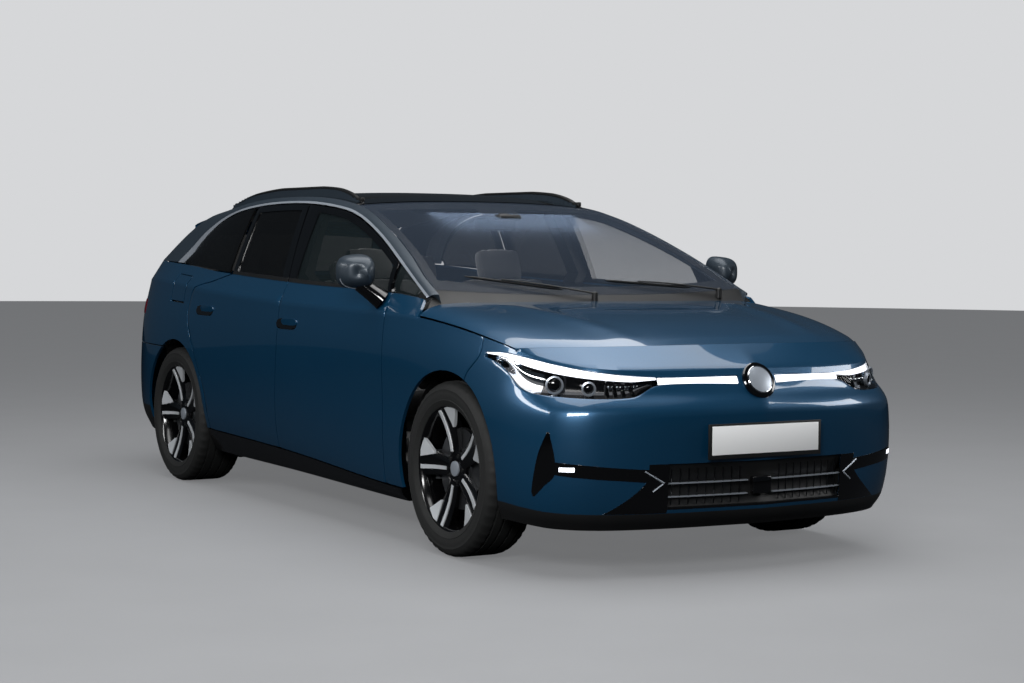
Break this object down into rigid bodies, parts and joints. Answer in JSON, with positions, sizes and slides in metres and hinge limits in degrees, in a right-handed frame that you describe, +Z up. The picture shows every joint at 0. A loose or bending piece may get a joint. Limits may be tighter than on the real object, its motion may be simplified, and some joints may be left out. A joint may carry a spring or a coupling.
{
  "type": "station wagon",
  "caption": "Five-door electric station wagon with a hollow cabin, steered front wheels, opening doors, bonnet, tailgate and charge flap.",
  "frame": {"origin": "on the ground under the middle of the car's box", "axes": "+Z up, +Y towards the tail, +X towards the car's left side"},
  "size_m": [2.1252, 4.961, 1.551],
  "materials": {
    "paint": "deep blue metallic lacquer",
    "satin_trim": "satin silver",
    "gloss_black": "gloss",
    "black_plastic": "grained",
    "chassis": "black coated steel",
    "cast": "cast",
    "tinted_glass": "privacy tint",
    "clear_glass": "clear",
    "lamp": "clear lens over black housing",
    "light": "white diffuser",
    "red_lens": "red lens",
    "plate": "blank white",
    "leather": "black",
    "tyre": "matt",
    "wheel": "gloss black with machined silver"
  },
  "bodies": {
    "body": {"floor_pan": "chassis", "battery_pack": "chassis", "drive_motor": "cast", "front_axle": "chassis", "rear_axle": "chassis", "front_bulkhead": "black_plastic", "side_sills": "black_plastic", "door_pillars": "black_plastic", "body_side_left": "paint", "body_side_right": "paint", "rear_quarter_left": "paint", "rear_quarter_right": "paint", "roof_panel": "gloss_black", "roof_glass": "tinted_glass", "roof_rails": "gloss_black", "windscreen": "clear_glass", "fixed_side_glass": "tinted_glass", "front_wing_left": "paint", "front_wing_right": "paint", "front_bumper": "paint", "lower_grille": "black_plastic", "headlamps": "lamp", "light_bar": "light", "number_plates": "plate", "rear_bumper": "paint", "corner_lamps": "red_lens", "wheel_liners": "black_plastic", "load_floor": "black_plastic", "dashboard": "black_plastic", "centre_console": "black_plastic", "front_seats": "leather", "rear_seat": "leather", "wipers": "black_plastic"},
    "bonnet": {"bonnet": "paint"},
    "steering_wheel": {"steering_wheel": "leather"},
    "front_door_left": {"front_door_left": "paint", "front_door_glass_left": "clear_glass", "door_mirror_left": "paint"},
    "front_door_right": {"front_door_right": "paint", "front_door_glass_right": "clear_glass", "door_mirror_right": "paint"},
    "rear_door_left": {"rear_door_left": "paint", "rear_door_glass_left": "tinted_glass"},
    "rear_door_right": {"rear_door_right": "paint", "rear_door_glass_right": "tinted_glass"},
    "tailgate": {"tailgate": "paint", "tailgate_glass": "tinted_glass", "tailgate_lamp": "red_lens"},
    "charge_flap": {"charge_flap": "paint"},
    "knuckle_left": {"knuckle_left": "cast"},
    "knuckle_right": {"knuckle_right": "cast"},
    "wheel_front_left": {"tyre_front_left": "tyre", "rim_front_left": "wheel"},
    "wheel_front_right": {"tyre_front_right": "tyre", "rim_front_right": "wheel"},
    "wheel_rear_left": {"tyre_rear_left": "tyre", "rim_rear_left": "wheel"},
    "wheel_rear_right": {"tyre_rear_right": "tyre", "rim_rear_right": "wheel"}
  },
  "joints": [
    {"name": "bonnet_hinge", "type": "hinge", "parent": "body", "child": "bonnet", "pos_m": [0, -1.288, 1.036], "axis": [-1, 0, 0], "range_deg": [0, 55]},
    {"name": "tailgate_hinge", "type": "hinge", "parent": "body", "child": "tailgate", "pos_m": [0, 1.796, 1.434], "axis": [1, 0, 0], "range_deg": [0, 75]},
    {"name": "front_door_left_hinge", "type": "hinge", "parent": "body", "child": "front_door_left", "pos_m": [0.9285, -1.01, 0.6], "axis": [0, 0, -1], "range_deg": [0, 65]},
    {"name": "rear_door_left_hinge", "type": "hinge", "parent": "body", "child": "rear_door_left", "pos_m": [0.9305, 0.088, 0.6], "axis": [0, 0, -1], "range_deg": [0, 65]},
    {"name": "front_door_right_hinge", "type": "hinge", "parent": "body", "child": "front_door_right", "pos_m": [-0.9285, -1.01, 0.6], "axis": [0, 0, 1], "range_deg": [0, 65]},
    {"name": "rear_door_right_hinge", "type": "hinge", "parent": "body", "child": "rear_door_right", "pos_m": [-0.9305, 0.088, 0.6], "axis": [0, 0, 1], "range_deg": [0, 65]},
    {"name": "charge_flap_hinge", "type": "hinge", "parent": "body", "child": "charge_flap", "pos_m": [-0.92, 1.336, 1], "axis": [0, 0, 1], "range_deg": [0, 85]},
    {"name": "steer_left", "type": "hinge", "parent": "body", "child": "knuckle_left", "pos_m": [0.77, -1.5555, 0.359], "axis": [0, 0, 1], "range_deg": [-33, 33]},
    {"name": "steer_right", "type": "hinge", "parent": "body", "child": "knuckle_right", "pos_m": [-0.77, -1.5555, 0.359], "axis": [0, 0, 1], "range_deg": [-33, 33]},
    {"name": "steering_wheel_turn", "type": "hinge", "parent": "body", "child": "steering_wheel", "pos_m": [-0.37, -0.62, 0.905], "axis": [0, 0.9135, 0.4067], "range_deg": [-480, 480]},
    {"name": "front_left_wheel_spin", "type": "hinge", "parent": "knuckle_left", "child": "wheel_front_left", "pos_m": [0.7985, -1.5555, 0.359], "axis": [1, 0, 0], "continuous": true},
    {"name": "front_right_wheel_spin", "type": "hinge", "parent": "knuckle_right", "child": "wheel_front_right", "pos_m": [-0.7985, -1.5555, 0.359], "axis": [1, 0, 0], "continuous": true},
    {"name": "rear_left_wheel_spin", "type": "hinge", "parent": "body", "child": "wheel_rear_left", "pos_m": [0.7885, 1.4155, 0.356], "axis": [1, 0, 0], "continuous": true},
    {"name": "rear_right_wheel_spin", "type": "hinge", "parent": "body", "child": "wheel_rear_right", "pos_m": [-0.7885, 1.4155, 0.356], "axis": [1, 0, 0], "continuous": true}
  ],
  "couplings": [
    {"joint": "steer_right", "follows": "steer_left", "ratio": 1},
    {"joint": "steering_wheel_turn", "follows": "steer_left", "ratio": 14.5}
  ]
}
